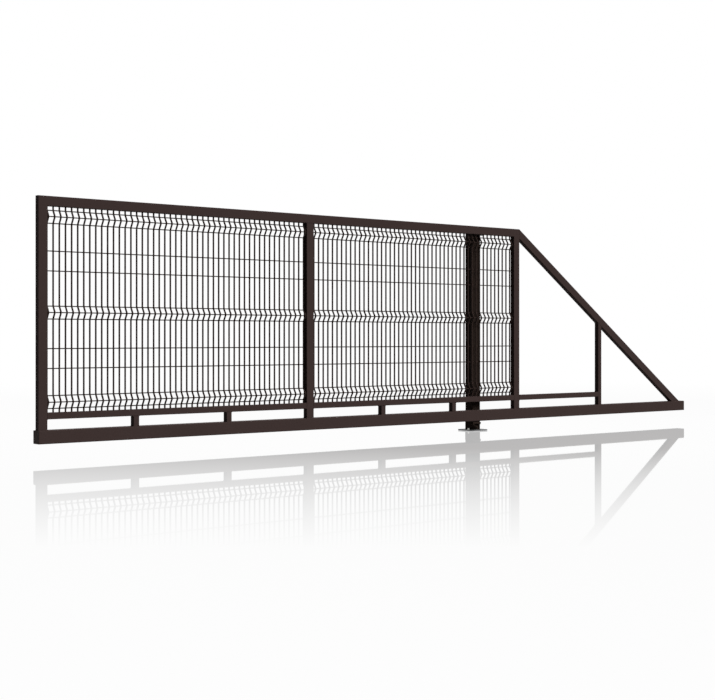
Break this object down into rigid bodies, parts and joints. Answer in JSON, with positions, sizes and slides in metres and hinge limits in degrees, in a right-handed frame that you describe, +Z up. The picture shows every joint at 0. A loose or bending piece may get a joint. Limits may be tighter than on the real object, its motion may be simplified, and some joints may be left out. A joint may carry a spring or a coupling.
{
  "type": "sliding driveway gate",
  "caption": "Self-supporting sliding driveway gate: folded wire mesh in a tube frame with a triangular tail on a slotted carrying rail, rolling past a guide post.",
  "frame": {"origin": "middle of the underside of the guide post's base plate, on the ground", "axes": "+X along the leaf towards its tail, the way it opens; +Y from the leaf to the post; +Z up"},
  "size_m": [7.488, 0.28, 1.935],
  "materials": {
    "frame_paint": "satin",
    "mesh_paint": "satin",
    "zinc": "dull zinc",
    "wheel_plastic": "matte",
    "cap_plastic": "matte"
  },
  "bodies": {
    "post": {"base_plate": "zinc", "carriage_bracket": "frame_paint", "carriage_frame": "frame_paint", "carriage_wheel_1_far": "wheel_plastic", "carriage_wheel_1_near": "wheel_plastic", "carriage_wheel_2_far": "wheel_plastic", "carriage_wheel_2_near": "wheel_plastic", "carriage_wheel_3_far": "wheel_plastic", "carriage_wheel_3_near": "wheel_plastic", "guide_bracket": "frame_paint", "guide_pin_front": "zinc", "guide_pin_rear": "zinc", "guide_post": "frame_paint", "guide_roller_front": "wheel_plastic", "guide_roller_rear": "wheel_plastic", "post_cap": "cap_plastic"},
    "leaf": {"bottom_rail": "frame_paint", "front_stile": "frame_paint", "lower_bar_bay_1": "frame_paint", "lower_bar_bay_2": "frame_paint", "lower_bar_tail": "frame_paint", "mesh_bay_1_front": "mesh_paint", "mesh_bay_1_rear": "mesh_paint", "mesh_bay_2_front": "mesh_paint", "mesh_bay_2_rear": "mesh_paint", "middle_stile": "frame_paint", "rail_cap_front": "cap_plastic", "rail_cap_rear": "cap_plastic", "rear_stile": "frame_paint", "spacer_bay_1_front": "frame_paint", "spacer_bay_1_rear": "frame_paint", "spacer_bay_2_front": "frame_paint", "spacer_bay_2_rear": "frame_paint", "tail_brace": "frame_paint", "tail_upright": "frame_paint", "top_rail": "frame_paint"}
  },
  "joints": [
    {"name": "leaf_slide", "type": "slide", "parent": "post", "child": "leaf", "axis": [1, 0, 0], "range_m": [0, 4.2]}
  ]
}
